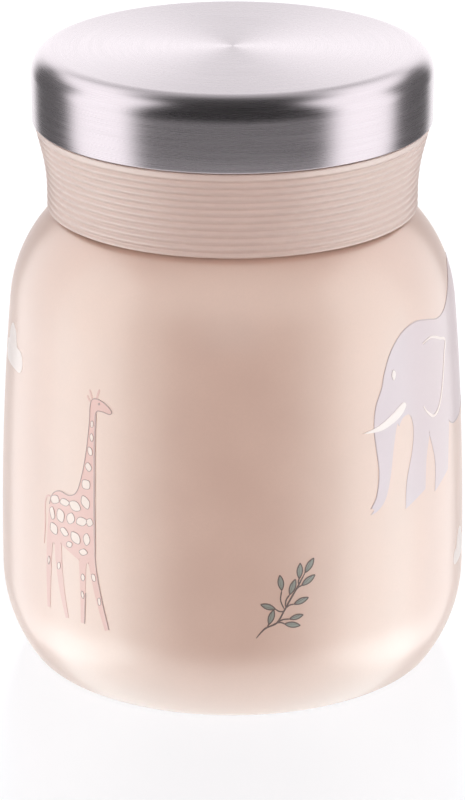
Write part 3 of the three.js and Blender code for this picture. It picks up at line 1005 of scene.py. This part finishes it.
def dome_level(n):
    """Dark front, bright sides, dark rear corners, bright back, dark top and bright table.

    ahead is 1 towards the camera and -1 away from it, and rise is 1 overhead and -1 below.
    """
    x, y, z = n.split(n.place())
    flat = n.length(n.joined(x, y))
    ahead = n.maths("DIVIDE", n.maths("MULTIPLY", y, -1), n.maths("MAXIMUM", flat, 0.01))
    rise = n.maths("DIVIDE", z, DOME_RADIUS)

    def ramp(value, start, end, first, last):
        inputs = {"Value": value, "From Min": start, "From Max": end, "To Min": first, "To Max": last}
        return n.add("ShaderNodeMapRange", inputs, interpolation_type="SMOOTHSTEP").outputs["Result"]

    def blend(factor, a, b):
        kept = n.maths("MULTIPLY", a, n.maths("SUBTRACT", 1.0, factor))
        return n.maths("ADD", kept, n.maths("MULTIPLY", b, factor))

    front = ramp(rise, -0.3, -0.05, FRONT_LOW, FRONT_HIGH)
    corners = ramp(rise, 0.4, 0.6, REAR_CORNERS, SIDES)
    back = ramp(rise, 0.42, 0.62, BACK, BACK_HIGH)
    level = blend(ramp(ahead, -0.36, -0.12, 0, 1), corners, SIDES)
    level = blend(ramp(ahead, 0.40, 0.66, 0, 1), level, front)
    level = blend(ramp(ahead, -0.95, -0.80, 1, 0), level, back)
    level = blend(ramp(rise, 0.80, 0.95, 0, 1), level, OVERHEAD)
    return blend(ramp(rise, -0.70, -0.50, 1, 0), level, TABLE)


def dome_light():
    """A dome round the jar that only reflections see."""
    n = Nodes("dome_light")
    n.set(n.shader.inputs["Emission Color"], (1.0, 0.985, 0.995, 1.0))
    n.set(n.shader.inputs["Emission Strength"], dome_level(n))
    n.finish(base=(0, 0, 0, 1), rough=1.0)
    n.material.cycles.emission_sampling = "NONE"
    radius = DOME_RADIUS / MM
    steps = 32
    outline = [(0, -radius)]
    for k in range(1, steps):
        angle = math.pi * k / steps
        outline.append((radius * math.sin(angle), -radius * math.cos(angle)))
    outline.append((0, radius))
    dome = turned("dome_light", outline, n.material, segments=64)
    dome.visible_camera = False
    dome.visible_diffuse = False
    dome.visible_transmission = False
    dome.visible_shadow = False


def floor():
    """A pale glowing floor that only the camera sees."""
    n = Nodes("floor")
    n.set(n.shader.inputs["Emission Color"], (0.975, 0.98, 1, 1))
    n.set(n.shader.inputs["Emission Strength"], FLOOR_GLOW)
    n.finish(base=(0.20, 0.20, 0.21, 1), rough=0.2)
    half = FLOOR_HALF / MM
    corners = [(-half, -half, 0), (half, -half, 0), (half, half, 0), (-half, half, 0)]
    ground = mesh_object("floor", corners, [(0, 1, 2, 3)], n.material)
    ground.visible_glossy = False
    ground.visible_diffuse = False
    ground.visible_shadow = False


def surroundings():
    """A world that is white behind the jar and dimmer as a light."""
    world = bpy.data.worlds.new("studio")
    bpy.context.scene.world = world
    world.use_nodes = True
    tree = world.node_tree
    backdrop = tree.nodes["Background"]
    backdrop.inputs["Color"].default_value = (1, 1, 1, 1)
    path = tree.nodes.new("ShaderNodeLightPath")
    level = tree.nodes.new("ShaderNodeMapRange")
    level.inputs["To Min"].default_value = WORLD_GLOW
    level.inputs["To Max"].default_value = 1.0
    tree.links.new(path.outputs["Is Camera Ray"], level.inputs["Value"])
    tree.links.new(level.outputs["Result"], backdrop.inputs["Strength"])


def satin_lights():
    """Softboxes that only the satin pieces reflect: beside the jar, above it and under it."""
    above = (0, -0.75, 0.95)
    shoulder = (0, 0, 0.08)
    below = (0, -0.3, -1.0)
    over = (0, -0.3, 0)
    lamps = [
        softbox("shoulder_box", above, shoulder, size=(1.5, 0.9), radiance=3.1, colour=COOL),
        softbox("table_box", below, over, size=(3.4, 1.8), radiance=3.8, colour=COOL),
    ]
    for name, near, far, radiance, colour in BOXES:
        middle = (near + far) / 2
        size = (far - near, BOX_HEIGHT)
        for side, end in ((-1, "_left"), (1, "_right")):
            centre = (BOX_DISTANCE * side, middle, BOX_MIDDLE)
            target = (0, middle, BOX_MIDDLE)
            lamps.append(softbox(name + end, centre, target, size, radiance, colour))
    group = bpy.data.collections.new("satin_pieces")
    for piece in satin_pieces:
        group.objects.link(piece)
    for lamp in lamps:
        lamp.visible_diffuse = False
        lamp.light_linking.receiver_collection = group
        lamp.light_linking.blocker_collection = group


def fill_light():
    """Soft light from the front, which makes no highlights."""
    front = (0, -1.8, 0.55)
    jar = (0, 0, 0.06)
    lamp = softbox("fill", front, jar, size=(0.9, 0.9), radiance=6.0)
    lamp.visible_glossy = False


def camera():
    """A long lens in front of the jar, looking a little down on it."""
    data = bpy.data.cameras.new("camera")
    data.sensor_fit = "VERTICAL"
    data.sensor_height = 36
    data.lens = 168.4
    data.clip_start = 0.01
    pitch = -20.29
    lens = bpy.data.objects.new("camera", data)
    lens.location = (0, -0.693, 0.3062)
    lens.rotation_euler = (math.radians(90 + pitch), 0, 0)
    bpy.context.scene.collection.objects.link(lens)
    bpy.context.scene.camera = lens


floor()
dome_light()
surroundings()
satin_lights()
fill_light()
camera()
bpy.context.scene.view_settings.view_transform = "Standard"
